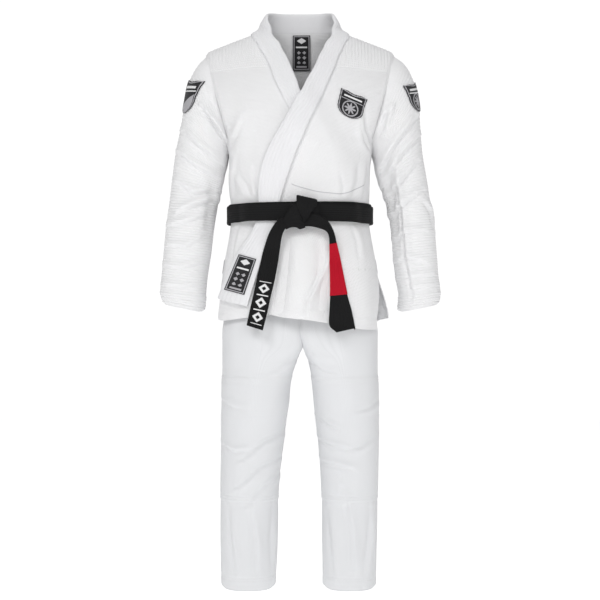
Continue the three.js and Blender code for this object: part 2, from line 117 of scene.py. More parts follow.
floor_mesh = bmesh.new()
bmesh.ops.create_circle(floor_mesh, cap_ends=True, segments=64, radius=6.0)
bmesh.ops.translate(floor_mesh, verts=floor_mesh.verts, vec=(0, 0, -shoulder_line - 0.10))
floor_data = bpy.data.meshes.new("floor")
floor_mesh.to_mesh(floor_data)
floor_mesh.free()
floor = bpy.data.objects.new("floor", floor_data)
bpy.context.scene.collection.objects.link(floor)
paper = bpy.data.materials.new("white_paper")
paper.use_nodes = True
paper_shader = paper.node_tree.nodes["Principled BSDF"]
paper_shader.inputs["Base Color"].default_value = linear("#FAFAFA")
paper_shader.inputs["Roughness"].default_value = 1.0
paper_shader.inputs["Emission Color"].default_value = (1, 1, 1, 1)
paper_shader.inputs["Emission Strength"].default_value = 0.62
floor_data.materials.append(paper)

# ---- Jacket cloth: pearl weave ------------------------------------------------------------------
# Cotton pearl weave, a rice-grain pattern of plump floats in staggered rows. Bleached white and
# matt. The grain is about 3 mm; it is drawn a little coarser, at 4.2 mm, so that it shows.


def cotton(name, colour, grain_across, grain_along, relief, stagger=True, roughness=0.92, mottle=0.03,
           sheen=0.12, gloss=0.25):
    """A matt white cotton whose weave is a field of bumps on the piece's own UV map, in metres. Its colour is
    darkened a little where the weave is low, as painted shade in the hollows between the bumps.
    """
    material = bpy.data.materials.new(name)
    material.use_nodes = True
    tree = material.node_tree
    shader = tree.nodes["Principled BSDF"]
    shader.inputs["Roughness"].default_value = roughness
    shader.inputs["Specular IOR Level"].default_value = gloss
    shader.inputs["Sheen Weight"].default_value = sheen
    shader.inputs["Sheen Roughness"].default_value = 0.6
    where = add_node(tree, "ShaderNodeUVMap", {"uv_map": "weave"})
    parts = add_node(tree, "ShaderNodeSeparateXYZ", Vector=where.outputs["UV"])
    turns = []
    for axis, pitch in (("X", grain_across), ("Y", grain_along)):
        scaled = add_node(tree, "ShaderNodeMath", {"operation": "MULTIPLY"},
                          _0=parts.outputs[axis], _1=math.pi / pitch)
        turns.append(scaled.outputs[0])
    if stagger:
        row = add_node(tree, "ShaderNodeMath", {"operation": "MULTIPLY"}, _0=turns[1], _1=1 / math.pi)
        step = add_node(tree, "ShaderNodeMath", {"operation": "FLOOR"}, _0=row.outputs[0])
        half = add_node(tree, "ShaderNodeMath", {"operation": "MULTIPLY"}, _0=step.outputs[0], _1=math.pi / 2)
        turns[0] = add_node(tree, "ShaderNodeMath", {"operation": "ADD"},
                            _0=turns[0], _1=half.outputs[0]).outputs[0]
    waves = []
    for turn in turns:
        wave = add_node(tree, "ShaderNodeMath", {"operation": "SINE"}, _0=turn)
        bumps = add_node(tree, "ShaderNodeMath", {"operation": "ABSOLUTE"}, _0=wave.outputs[0])
        waves.append(bumps.outputs[0])
    grain = add_node(tree, "ShaderNodeMath", {"operation": "MULTIPLY"}, _0=waves[0], _1=waves[1])
    cloudy = add_node(tree, "ShaderNodeTexNoise", {"noise_dimensions": "3D"},
                      Vector=add_node(tree, "ShaderNodeTexCoord").outputs["Object"], Scale=14.0, Detail=4.0)
    tint = add_node(tree, "ShaderNodeMapRange", Value=cloudy.outputs["Fac"], To_Min=1 - mottle, To_Max=1.0)
    # Painted shade: the colour falls by up to 7% where the weave is low, between the floats.
    shade = add_node(tree, "ShaderNodeMapRange", Value=grain.outputs[0], To_Min=0.93, To_Max=1.0)
    both = add_node(tree, "ShaderNodeMath", {"operation": "MULTIPLY"},
                    _0=tint.outputs[0], _1=shade.outputs[0])
    colour_mix = add_node(tree, "ShaderNodeMix", {"data_type": "RGBA", "blend_type": "MULTIPLY"}, Factor=1.0)
    colour_mix.inputs[6].default_value = linear(colour)
    tree.links.new(both.outputs[0], colour_mix.inputs[7])
    tree.links.new(colour_mix.outputs[2], shader.inputs["Base Color"])
    bump = add_node(tree, "ShaderNodeBump", Strength=1.0, Distance=relief, Height=grain.outputs[0])
    tree.links.new(bump.outputs["Normal"], shader.inputs["Normal"])
    return material


white = "#F4F4F5"
pearl_weave = cotton("pearl_weave_cotton", white, 0.0042, 0.0036, 0.0006)
rib_weave = cotton("ribbed_cotton", "#F1F1F2", 0.0030, 0.0030, 0.0003)
# The shoulder cloth is the same pearl weave as the fronts, coloured a little darker as painted shade, to hold
# back the extra light that its ribs and upturned face catch.
yoke_weave_painted_shade = cotton("shoulder_pearl_weave_painted_shade", "#EDEDEE", 0.0042, 0.0036, 0.0006)
twill = cotton("cotton_twill", "#EEEEF0", 0.0022, 0.0022, 0.0002, stagger=False)

# ---- Jacket form --------------------------------------------------------------------------------
# The body of the jacket follows one rounded form from the skirt hem to the top of the collar. A
# place on it is a turn from the front centre, in degrees towards the wearer's left, and a height
# in metres above the trouser hem.

jacket_rows = np.array([
    # height, half width, half depth, centre back from the shoulder line, squareness
    (0.630, 0.201, 0.147, 0.000, 2.4), (0.700, 0.199, 0.144, 0.000, 2.4), (0.760, 0.193, 0.139, 0.000, 2.4),
    (0.820, 0.184, 0.132, 0.000, 2.4), (0.875, 0.174, 0.124, 0.000, 2.4), (0.905, 0.170, 0.119, 0.000, 2.4),
    (0.955, 0.170, 0.119, 0.000, 2.4), (0.995, 0.171, 0.121, 0.001, 2.4), (1.045, 0.173, 0.124, 0.002, 2.4),
    (1.090, 0.177, 0.125, 0.003, 2.4), (1.140, 0.198, 0.123, 0.004, 2.5), (1.190, 0.232, 0.117, 0.006, 2.6),
    (1.245, 0.257, 0.106, 0.008, 2.5), (1.290, 0.260, 0.091, 0.010, 2.3), (1.328, 0.236, 0.075, 0.011, 2.2),
    (1.355, 0.172, 0.067, 0.012, 2.2), (1.380, 0.109, 0.062, 0.012, 2.2), (1.410, 0.089, 0.059, 0.014, 2.2),
    (1.448, 0.068, 0.056, 0.018, 2.2)])


def smooth_through(knots, values, at):
    """A smooth curve through values at knots, read at the places in at."""
    knots, values = np.asarray(knots, float), np.asarray(values, float)
    slope = np.gradient(values, knots)
    at = np.clip(at, knots[0], knots[-1])
    i = np.clip(np.searchsorted(knots, at, side="right") - 1, 0, len(knots) - 2)
    span = knots[i + 1] - knots[i]
    t = (at - knots[i]) / span
    return ((2 * t**3 - 3 * t**2 + 1) * values[i] + (t**3 - 2 * t**2 + t) * span * slope[i]
            + (3 * t**2 - 2 * t**3) * values[i + 1] + (t**3 - t**2) * span * slope[i + 1])


def ease(value, start, end):
    """0 before start, 1 after end, and smooth between."""
    t = np.clip((value - start) / (end - start), 0, 1)
    return t * t * (3 - 2 * t)


def signed_power(value, power):
    return np.sign(value) * np.abs(value) ** power


def jacket_surface(turn, height):
    """Points on the jacket form, in the frame's metres."""
    half_width, half_depth, centre, square = (
        smooth_through(jacket_rows[:, 0], jacket_rows[:, k], height) for k in range(1, 5))
    angle = np.radians(turn)
    x = half_width * signed_power(np.sin(angle), 2 / square)
    y = centre - half_depth * signed_power(np.cos(angle), 2 / square)
    return np.stack([x, y, height - shoulder_line], axis=-1)


def off_surface(surface, u, v, lift, du=0.6, dv=0.003):
    """Points lifted off a surface along its outward normal."""
    across = surface(u + du, v) - surface(u - du, v)
    along = surface(u, v + dv) - surface(u, v - dv)
    normal = np.cross(across, along)
    normal /= np.linalg.norm(normal, axis=-1, keepdims=True) + 1e-12
    return surface(u, v) + normal * np.asarray(lift)[..., None]


def on_jacket(turn, height, lift):
    return off_surface(jacket_surface, turn, height, lift)


def turn_at(x, height):
    """The turn at which the jacket form is x metres from its middle, seen from the front."""
    half_width = smooth_through(jacket_rows[:, 0], jacket_rows[:, 1], height)
    square = smooth_through(jacket_rows[:, 0], jacket_rows[:, 4], height)
    share = np.clip(np.abs(x) / half_width, 0, 0.999)
    return np.degrees(np.arcsin(share ** (square / 2))) * np.sign(x)


def edge(points):
    """A curve down the front from (x, height) points in millimetres: gives x in metres at a height."""
    points = sorted(((z / 1000, x / 1000) for x, z in points))
    return lambda height: smooth_through([p[0] for p in points], [p[1] for p in points], height)


# The free edges of the two lapels, and the seams that join them to the fronts.
outer_free = edge([(75, 1374), (52, 1320), (25, 1264), (1, 1221), (-30, 1162), (-62, 1109), (-88, 1049),
                   (-96, 1005), (-97, 955), (-104, 900), (-150, 820), (-190, 722)])
outer_seam = edge([(119, 1374), (105, 1335), (88, 1294), (62, 1232), (37, 1176), (6, 1109), (-20, 1042),
                   (-38, 985), (-46, 955), (-54, 900), (-88, 810), (-120, 702)])
under_free = edge([(-60, 1378), (-38, 1320), (-13, 1263), (1, 1224), (31, 1165), (62, 1109), (86, 1049),
                   (96, 1005), (97, 955), (100, 900), (120, 810), (140, 690)])
under_seam = edge([(-103, 1378), (-95, 1345), (-84, 1315), (-66, 1262), (-47, 1220), (-32, 1190), (10, 1109),
                   (36, 1049), (46, 1005), (47, 955), (50, 900), (70, 810), (90, 690)])
armhole_low, armhole_high = (0.171, 1.090), (0.236, 1.330)

cloth = 0.0026


def armhole(height):
    """Half width of the armhole seam at a height: a straight line through its low and high ends."""
    seam = armhole_low[0] + (height - armhole_low[1]) * (armhole_high[0] - armhole_low[0]) / (
        armhole_high[1] - armhole_low[1])
    return seam


def side_turn(height):
    """How far round the front and back reach: to the side, or to the armhole seam."""
    to_seam = turn_at(armhole(height), height)
    inside = ease(height, armhole_low[1] + 0.002, armhole_low[1] + 0.030) * (height < armhole_high[1])
    return 90.0 + (to_seam - 90.0) * inside


def fold_height(x, height, folds):
    """Height of the folds at front-view places. A fold is (width, rise, points) in millimetres: a ridge on
    the left of the line and a sharper valley on it; a fold with a negative width is a plain ridge."""
    total = np.zeros_like(x)
    for width, rise, points in folds:
        plain, width, rise = width < 0, abs(width) / 1000, rise / 1000
        path = np.array(points, float) / 1000
        steps = np.diff(path, axis=0)
        lengths = np.linalg.norm(steps, axis=1)
        best = np.full_like(x, 1e9)
        signed, share = np.zeros_like(x), np.zeros_like(x)
        done = 0.0
        for start, step, length in zip(path, steps, lengths):
            dx, dz = x - start[0], height - start[1]
            t = np.clip((dx * step[0] + dz * step[1]) / length**2, 0, 1)
            gap = np.hypot(dx - t * step[0], dz - t * step[1])
            nearer = gap < best
            side = np.sign(step[0] * dz - step[1] * dx)
            best = np.where(nearer, gap, best)
            signed = np.where(nearer, side * gap, signed)
            share = np.where(nearer, (done + t * length) / lengths.sum(), share)
            done += length
        taper = np.sin(np.pi * np.clip(share, 0.03, 0.97)) ** 0.5
        if plain:
            total += rise * taper * np.exp(-(best / width) ** 2)
        else:
            total += rise * taper * (np.exp(-((signed - width) / width) ** 2)
                                     - 0.9 * np.exp(-(signed / (0.55 * width)) ** 2))
    return total


def lay(name, columns, rows, size, place, closed=False):
    """A piece of cloth: a flat grid, its weave map in metres, laid by place(u, v). u runs anticlockwise
    seen from above and v runs up, so that the faces point outwards."""
    bm = bmesh.new()
    bmesh.ops.create_grid(bm, x_segments=columns, y_segments=rows, size=0.5)
    bmesh.ops.translate(bm, verts=bm.verts, vec=(0.5, 0.5, 0))
    weave = bm.loops.layers.uv.new("weave")
    for face in bm.faces:
        face.smooth = True
        for loop in face.loops:
            loop[weave].uv = (loop.vert.co.x * size[0], loop.vert.co.y * size[1])
    flat = np.array([vert.co for vert in bm.verts])
    for vert, spot in zip(bm.verts, place(flat[:, 0], flat[:, 1])):
        vert.co = spot
    if closed:
        bmesh.ops.remove_doubles(bm, verts=bm.verts, dist=1e-6)
    for border in [e for e in bm.edges if e.is_boundary]:
        border.smooth = False
    mesh = bpy.data.meshes.new(name)
    bm.to_mesh(mesh)
    bm.free()
    piece = bpy.data.objects.new(name, mesh)
    bpy.context.scene.collection.objects.link(piece)
    return piece


def thicken(piece, thickness):
    """Gives a sheet its thickness, inwards from the outer face."""
    solid = piece.modifiers.new("thickness", "SOLIDIFY")
    solid.thickness = thickness
    solid.offset = -1
    return piece


def finish_cloth(piece, material, body, nodes):
    """Material for a sewn piece; ties it to a named body or bakes its transform, and hides its frame parts."""
    piece.data.materials.append(material)
    if isinstance(body, str):
        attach(piece, body)
    else:
        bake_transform(piece)
    if nodes:
        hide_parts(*nodes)


# ---- Jacket fronts and back ---------------------------------------------------------------------
# Two fronts wrapped wearer's left over right and one back, in pearl weave, sewn at the sides down to
# the vents. The outer front lies over the under front and its lapel, and rises over them.

left_folds = [
    (11, 4.5, [(150, 960), (160, 1005), (168, 1060)]),
    (12, 4.0, [(118, 958), (134, 1005), (140, 1050)]),
    (12, 5.5, [(178, 1096), (160, 1135), (156, 1190)]),
    (9, 4.0, [(176, 1078), (156, 1104), (146, 1136)]),
    (10, 3.0, [(96, 958), (100, 990), (92, 1030)]),
    (-40, 2.5, [(112, 1000), (104, 1130)]),
    (8, 8.0, [(68, 838), (44, 776), (16, 719), (9, 672)]),
    (-34, 9.0, [(8, 896), (0, 790), (-6, 650)]),
    (-15, -11.0, [(-28, 892), (-38, 790), (-52, 665)]),
    (-15, -10.0, [(40, 892), (54, 790), (62, 660)]),
    (-24, 6.0, [(140, 890), (154, 780), (158, 650)]),
    (9, 3.5, [(118, 902), (132, 860), (136, 810)]),
]
right_folds = [
    (9, 6.0, [(-114, 962), (-128, 992), (-150, 1030)]),
    (8, 4.5, [(-100, 964), (-104, 1000), (-112, 1036)]),
    (9, 4.5, [(-158, 965), (-160, 1010), (-150, 1070)]),
    (10, 4.0, [(-170, 1090), (-150, 1120), (-132, 1160)]),
    (-18, 4.5, [(-150, 1080), (-140, 1150), (-128, 1210)]),
    (-16, -4.0, [(-118, 1050), (-108, 1120), (-104, 1180)]),
    (9, 4.5, [(-118, 902), (-135, 850), (-146, 800)]),
    (8, 4.0, [(-150, 898), (-160, 850), (-166, 790)]),
    (-18, 4.0, [(-160, 760), (-170, 680)]),
]
front_top = 1.366


def over_under(turn, height):
    """How far the outer front is raised by the under front and its lapel below it."""
    x = jacket_surface(turn, height)[:, 0]
    crossing = ease(height, 1.30, 1.21)
    on_under = ease(x, under_free(height) + 0.055, under_free(height) - 0.002)
    on_lapel = on_under * ease(x, under_seam(height) - 0.050, under_seam(height))
    return crossing * np.where(turn < 90, on_under * 0.0030 + on_lapel * 0.0062, 0)


def into_armhole(turn, height):
    """1 on the panels and 0 at the armhole, where their edges turn in to the sleeve."""
    x = np.abs(jacket_surface(turn, height)[..., 0])
    beside = (ease(height, armhole_low[1], armhole_low[1] + 0.030)
              * ease(height, armhole_high[1] + 0.004, armhole_high[1]))
    return 1 - beside * (1 - ease(armhole(height) - x, 0.0004, 0.008))


def clear_of_belt(height):
    """1 where the cloth is free to fold and 0 where the belt presses it flat."""
    return 1 - ease(height, 0.890, 0.903) * ease(height, 0.975, 0.957)


def left_lift(turn, height):
    x = jacket_surface(turn, height)[:, 0]
    return cloth + over_under(turn, height) + fold_height(x, height, left_folds) * clear_of_belt(height)


def hem_height(x, knots):
    return smooth_through([k[0] / 1000 for k in knots], [k[1] / 1000 for k in knots], x)


left_hem_knots = [(-125, 704), (-80, 688), (-42, 677), (11, 667), (71, 655), (107, 648), (190, 645)]
under_hem_knots = [(-205, 672), (-150, 667), (-80, 672), (0, 682), (120, 694)]


def hem_step(above):
    """The turned hem stands a little proud of the cloth."""
    return 0.0013 * ease(above, 0.027, 0.023) - 0.0008 * np.exp(-((above - 0.019) / 0.002) ** 2)


def left_front(u, v):
    x_low = -0.125 + 0.31 * u
    low = hem_height(x_low, left_hem_knots)
    height = low + (front_top - low) * v
    start = turn_at(outer_seam(height) - 0.012, height)
    end = side_turn(height)
    end = np.where(height < 0.79, 88 - 24 * ease(height, 0.790, 0.655), end)
    turn = start + (end - start) * u
    lift = left_lift(turn, height) * into_armhole(turn, height)
    return on_jacket(turn, height, lift + hem_step(height - low))


def right_front(u, v):
    x_low = -0.20 + 0.32 * u
    low = hem_height(x_low, under_hem_knots)
    height = low + (front_top - low) * v
    end = turn_at(under_seam(height) + 0.012, height)
    start = -side_turn(height)
    start = np.where(height < 0.79, np.maximum(start, -87), start)
    turn = start + (end - start) * u
    x = jacket_surface(turn, height)[:, 0]
    hidden = ease(x, outer_free(height) - 0.010, outer_free(height) + 0.020)
    folds = fold_height(x, height, right_folds) * clear_of_belt(height)
    lift = (cloth + (1 - hidden) * folds) * into_armhole(turn, height)
    return on_jacket(turn, height, lift + hem_step(height - low))


back_folds = [
    (14, 5.0, [(-60, 958), (-80, 1020), (-120, 1080)]), (14, 5.0, [(120, 1080), (80, 1020), (60, 958)]),
    (16, 4.0, [(-10, 958), (-14, 1040)]), (-40, 6.0, [(0, 890), (0, 650)]),
    (-30, -5.0, [(-70, 890), (-90, 650)]),
    (-30, -5.0, [(70, 890), (90, 650)]), (12, 4.0, [(-150, 1180), (-110, 1120), (-70, 1090)]),
    (12, 4.0, [(70, 1090), (110, 1120), (150, 1180)]),
]


def back_panel(u, v):
    low = 0.662 + 0.014 * ease(u, 0.80, 0.98) + 0.009 * ease(u, 0.10, 0.0)
    height = low + (1.398 - low) * v
    reach = np.where(height < 0.79, 93, 180 - side_turn(height))
    turn = reach + (360 - 2 * reach) * u
    x = jacket_surface(turn, height)[:, 0]
    folds = fold_height(x, height, back_folds) * clear_of_belt(height)
    flare = 0.020 * ease(height, 0.805, 0.670) * ease(180 - turn, 76, 87)
    lift = (cloth - 0.0003 + folds + flare) * into_armhole(turn, height)
    return on_jacket(turn, height, lift + hem_step(height - low))


jacket_front_left = thicken(lay("jacket_front_left_cloth", 150, 250, (0.34, 0.80), left_front), cloth)
jacket_front_right = thicken(lay("jacket_front_right_cloth", 110, 190, (0.34, 0.78), right_front), cloth)
jacket_back = thicken(lay("jacket_back_cloth", 130, 170, (0.62, 0.78), back_panel), cloth)
for piece, node, blank, cut_area in ((jacket_front_left, "jacket_front_left", (0.40, 0.72), 0.181),
                                     (jacket_front_right, "jacket_front_right", (0.40, 0.72), 0.185),
                                     (jacket_back, "jacket_back", (0.55, 0.74), 0.343)):
    finish_cloth(piece, pearl_weave, "jacket", [node])

seam_path = np.array([(-20, 997), (-9, 992), (37, 979), (70, 975), (97, 974), (126, 984), (152, 999)]) / 1000
# The grey of this line is painted shade, standing in for the shadow in the seam's groove; the line itself is
# raised topstitching.
seam_painted_shade = cotton("front_seam_painted_shade", "#CFCFD2", 0.0016, 0.0016, 0.0002, stagger=False)


def front_seam(u, v):
    """A raised line of topstitching on the outer front, curving over the waist, coloured grey as painted
    shade for the seam's groove.
    """
    steps = np.linspace(0, 1, len(seam_path))
    x, height = (smooth_through(steps, seam_path[:, k], u) for k in range(2))
    height = height + 0.0022 * (v - 0.5)
    turn = turn_at(x, height)
    return on_jacket(turn, height, left_lift(turn, height) + 0.0004)


front_seam_line = thicken(lay("front_seam_stitching", 160, 3, (0.18, 0.0022), front_seam), 0.0010)
front_seam_line.data.materials.append(seam_painted_shade)
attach(front_seam_line, "jacket")

# ---- Lapels and collar --------------------------------------------------------------------------
# One stiff band, cotton twill folded over a foam core, sewn round the whole edge of the jacket from
# hem to hem. Seven rows of stitching hold the core.

band_thick = 0.0105
stitch_rows = 7


def seen(x_free, z_free, x_seam, z_seam, over, around=0):
    """One cross line of the band on the fronts, from where its two edges are seen, in millimetres."""
    free_height, seam_height = np.array([z_free / 1000]), np.array([z_seam / 1000])
    return (turn_at(x_free / 1000, free_height)[0] + around, free_height[0],
            turn_at(x_seam / 1000, seam_height)[0] + around, seam_height[0], over)


def level(z, free, seam, over, around=0):
    """A level cross line of the band at a height in millimetres."""
    height = np.array([z / 1000])
    return seen(free(height)[0] * 1000, z, seam(height)[0] * 1000, z, over, around)


band_path = [seen(-190, 722, -120, 702, 1)]
band_path += [level(z, outer_free, outer_seam, 1) for z in
              (760, 820, 870, 905, 955, 1000, 1045, 1090, 1130, 1170, 1210, 1250, 1290)]
band_path += [seen(52, 1322, 99, 1322, 0.6), seen(66, 1352, 110, 1348, 0.3), seen(76, 1382, 119, 1368, 0),
              seen(81, 1404, 124, 1375, 0), (76, 1.428, 88, 1.380, 0), (108, 1.441, 112, 1.384, 0),
              (144, 1.447, 146, 1.388, 0), (180, 1.449, 180, 1.390, 0), (216, 1.447, 214, 1.388, 0),
              (252, 1.441, 248, 1.384, 0), (284, 1.428, 272, 1.380, 0)]
band_path += [seen(-74, 1404, -122, 1375, 0, 360), seen(-68, 1382, -117, 1368, 0, 360),
              seen(-54, 1352, -106, 1348, 0, 360), seen(-40, 1322, -93, 1322, 0, 360)]
band_path += [level(z, under_free, under_seam, 0, 360) for z in
              (1290, 1250, 1210, 1170, 1130, 1090, 1045, 1000, 955, 905, 870, 820, 760, 700)]
band_path = np.array(band_path)
band_run = np.linspace(0, 1, len(band_path))


def rounded_strip(s, slimness=4.6, face=0.62):
    """Goes once round a flat band's section: across from 0 to 1 and up from 0 to 1, its outer face first."""
    across = np.where(s < face, s / face, 1 - (s - face) / (1 - face))
    top = s < face
    edge_gap = np.minimum(across, 1 - across) * slimness
    round_off = np.sqrt(np.clip(1 - (1 - np.clip(edge_gap, 0, 1)) ** 2, 0, 1))
    up = np.where(top, 0.5 + 0.5 * round_off, 0.5 - 0.5 * round_off)
    return across, up


def collar_band(u, v):
    across, up = rounded_strip(u)
    free_turn, free_height, seam_turn, seam_height, over = (
        smooth_through(band_run, band_path[:, k], v) for k in range(5))
    turn = free_turn + (seam_turn - free_turn) * across
    height = free_height + (seam_height - free_height) * across
    turn_home = np.where(turn > 270, turn - 360, turn)
    outer_part = v < 0.5
    raised = over_under(turn_home, height) * ease(over, 0, 0.6)
    base = cloth + 0.0006 + np.where(outer_part, raised, 0)
    x = jacket_surface(turn_home, height)[:, 0]
    fold = np.where(outer_part, fold_height(x, height, left_folds) * 0.7 * clear_of_belt(height), 0)
    at_neck = ease(height, 1.345, 1.385)
    base = base - at_neck * 0.004
    squeezed = np.where(outer_part, 1.0, 1 - 0.38 * ease(height, 1.25, 1.19))
    stitches = np.zeros_like(across)
    for row in range(stitch_rows):
        line = 0.13 + 0.80 * row / (stitch_rows - 1)
        stitches += np.exp(-((across - line) / 0.018) ** 2)
    lift = base + fold + band_thick * squeezed * up - 0.0008 * stitches * (up > 0.6)
    return on_jacket(turn_home, height, lift)


lapel_band = lay("collar_and_lapel_band", 96, 420, (0.11, 2.0), collar_band, closed=True)


def close_ends(piece):
    """Fills the open ends of a tube."""
    bm = bmesh.new()
    bm.from_mesh(piece.data)
    bmesh.ops.holes_fill(bm, edges=[e for e in bm.edges if e.is_boundary], sides=0)
    bm.to_mesh(piece.data)
    bm.free()


close_ends(lapel_band)
lapel_band.data.materials.append(twill)
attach(lapel_band, "jacket")
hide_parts("lapel_left", "lapel_right", "collar_cover", "collar_core")

# ---- Shoulder reinforcements --------------------------------------------------------------------
# A second layer of weave over each shoulder, from the lapel to the armhole, sewn down in rows of
# stitching that run from front to back. The cloth puffs up between the rows.

row_pitch = 0.008
yoke_foot = 1.262


def ridge_height(x):
    """Height of the shoulder ridge at x metres from the middle."""
    fine = np.linspace(1.300, 1.380, 200)
    widths = smooth_through(jacket_rows[:, 0], jacket_rows[:, 1], fine)
    return np.interp(-np.abs(x), -widths, fine)


def yoke(side, lapel_seam):
    def place(u, v):
        over = v > 0.5
        t = np.where(over, (1 - v) * 2, v * 2)
        outer_low = 1.328 - (1.328 - yoke_foot) * (1 - t) ** 2
        inner_low = 1.366 - (1.366 - yoke_foot) * (1 - t) ** 2
        x_out = armhole(outer_low) - 0.0005
        x_in = np.where(over, 0.112 + 0 * t, np.abs(lapel_seam(inner_low)) - 0.008)
        across = u if side > 0 else 1 - u
        x = x_in + (x_out - x_in) * across
        top = ridge_height(x)
        height = top - (top - yoke_foot) * (1 - t) ** 2
        turn = turn_at(x, height)
        turn = np.where(over, 180 - turn, turn) * side
        ribs = np.abs(np.sin(np.pi * x / row_pitch)) ** 0.7
        edge_fade = ease(t, 0.02, 0.38)
        under = over_under(turn, height) if side > 0 else 0
        sunk = 0.0034 * (1 - ease(t, 0.0, 0.12))
        lift = cloth + 0.0004 - sunk + (0.0004 + 0.0018 * ribs) * edge_fade + under
        return on_jacket(turn, height, lift * (0.25 + 0.75 * ease(x_out - x, 0.0, 0.010)))
    return place


for side, name, seam in ((1, "left", outer_seam), (-1, "right", under_seam)):
    piece = thicken(lay(f"shoulder_yoke_{name}_cloth", 128, 110, (0.12, 0.22), yoke(side, seam)), 0.0018)
    # The shoulders take the darker copy of the pearl weave: painted shade.
    finish_cloth(piece, yoke_weave_painted_shade, "jacket", [f"shoulder_yoke_{name}"])

# ---- Sleeves ------------------------------------------------------------------------------------
# Each sleeve is one tube of rib-quilted weave set into the armhole, in two lengths that meet above the elbow.


def tube_surface(rows):
    """A tube through rings given by their two edges seen from the front, in millimetres: west x, west z,
    east x, east z, half depth, centre y, west squareness, east squareness. Its run is in metres."""
    rows = np.array(rows, float)
    middle = np.stack([(rows[:, 0] + rows[:, 2]) / 2, (rows[:, 1] + rows[:, 3]) / 2], axis=1)
    run = np.concatenate([[0], np.cumsum(np.linalg.norm(np.diff(middle, axis=0), axis=1))]) / 1000

    def surface(turn, station):
        wx, wz, ex, ez, depth, centre, west_square, east_square = (
            smooth_through(run, rows[:, k], station) for k in range(8))
        angle = np.radians(turn)
        square = np.where(np.sin(angle) >= 0, east_square, west_square)
        across = signed_power(np.sin(angle), 2 / square)
        front = signed_power(np.cos(angle), 2 / square)
        x = (wx + ex) / 2 + (ex - wx) / 2 * across
        z = (wz + ez) / 2 + (ez - wz) / 2 * across
        y = centre - depth * front
        return np.stack([x / 1000, y / 1000, z / 1000 - shoulder_line], axis=-1)
    return surface, run


left_sleeve_rows = [
    (243, 685, 346, 707, 55, 6, 2.2, 2.2), (247, 722, 351, 735, 56, 6, 2.2, 2.2),
    (240, 768, 346, 780, 58, 5, 2.2, 2.2), (231, 833, 341, 845, 60, 3, 2.2, 2.2),
    (223, 893, 335, 905, 61, 2, 2.2, 2.2), (213, 950, 325, 965, 62, 3, 2.2, 2.2),
    (205, 985, 316, 1025, 63, 5, 2.2, 2.2), (194, 1015, 306, 1085, 65, 6, 2.2, 2.2),
    (188, 1042, 301, 1150, 68, 6, 2.1, 2.1), (184, 1060, 296, 1215, 71, 6, 2.1, 2.1),
    (180, 1074, 283, 1268, 74, 7, 2.0, 2.0), (175, 1085, 260, 1308, 75, 7, 2.0, 2.0),
    (168, 1092, 230, 1330, 70, 7, 2.0, 2.0)]
right_sleeve_rows = [
    (-340, 707, -239, 685, 55, 6, 2.2, 2.2), (-349, 735, -236, 722, 56, 6, 2.2, 2.2),
    (-346, 780, -232, 768, 58, 5, 2.2, 2.2), (-340, 845, -222, 833, 60, 3, 2.2, 2.2),
    (-334, 905, -213, 893, 61, 2, 2.2, 2.2), (-326, 965, -204, 950, 62, 3, 2.2, 2.2),
    (-319, 1025, -196, 990, 63, 5, 2.2, 2.2), (-311, 1085, -190, 1020, 65, 6, 2.2, 2.2),
    (-298, 1150, -184, 1045, 68, 6, 2.1, 2.1), (-288, 1212, -180, 1063, 71, 6, 2.1, 2.1),
    (-276, 1266, -177, 1077, 74, 7, 2.0, 2.0), (-252, 1308, -172, 1087, 75, 7, 2.0, 2.0),
    (-228, 1331, -166, 1092, 70, 7, 2.0, 2.0)]

left_sleeve_folds = [
    (8, 13.0, [(184, 1120), (205, 1165), (224, 1184)]), (9, 9.0, [(197, 1212), (212, 1180), (200, 1130)]),
    (9, 9.0, [(203, 1040), (245, 1110), (288, 1168)]), (9, 8.0, [(208, 1000), (250, 1070), (294, 1120)]),
    (10, 9.0, [(214, 960), (250, 1005), (292, 1056)]), (10, 8.0, [(220, 915), (250, 945), (304, 985)]),
    (9, 6.0, [(230, 860), (262, 882), (306, 884)]), (9, 5.0, [(300, 962), (322, 935), (330, 895)]),
    (8, 8.0, [(228, 1040), (240, 977), (247, 926), (257, 825), (276, 725)]),
    (-13, 6.0, [(236, 1090), (238, 1020), (250, 950)]),
    (-13, -11.0, [(206, 1060), (222, 980), (232, 900), (240, 840)]),
    (9, 5.0, [(238, 806), (262, 818), (306, 808)]), (9, 4.5, [(246, 764), (280, 770), (322, 776)]),
    (8, 3.5, [(262, 740), (300, 744), (336, 750)])]
right_sleeve_folds = [
    (8, 15.0, [(-242, 1188), (-206, 1140), (-170, 1090)]),
    (9, 8.0, [(-236, 1236), (-218, 1205), (-200, 1180)]),
    (10, 8.0, [(-290, 1130), (-250, 1090), (-202, 1056)]),
    (9, 7.0, [(-302, 1080), (-255, 1040), (-208, 1016)]),
    (10, 8.0, [(-302, 1002), (-262, 975), (-212, 982)]), (10, 9.0, [(-294, 932), (-250, 950), (-208, 958)]),
    (9, 6.0, [(-320, 900), (-280, 905), (-224, 926)]), (8, 5.0, [(-322, 850), (-280, 845), (-232, 870)]),
    (8, 4.5, [(-332, 800), (-290, 792), (-242, 806)]), (-13, -8.0, [(-212, 1020), (-218, 950), (-230, 860)]),
    (8, 3.5, [(-334, 752), (-290, 746), (-256, 752)])]

elbow_span = (1.005, 0.895)


def shoulder_span(side):
    """Two points on the line out of the armhole, 2 mm inside and 38 mm outside a point on its seam."""
    outward = Vector((side * 0.9652, 0, -0.2614))
    middle = Vector((side * 0.2035, 0.006, 1.210 - shoulder_line))
    return tuple(middle - outward * 0.002), tuple(middle + outward * 0.038)


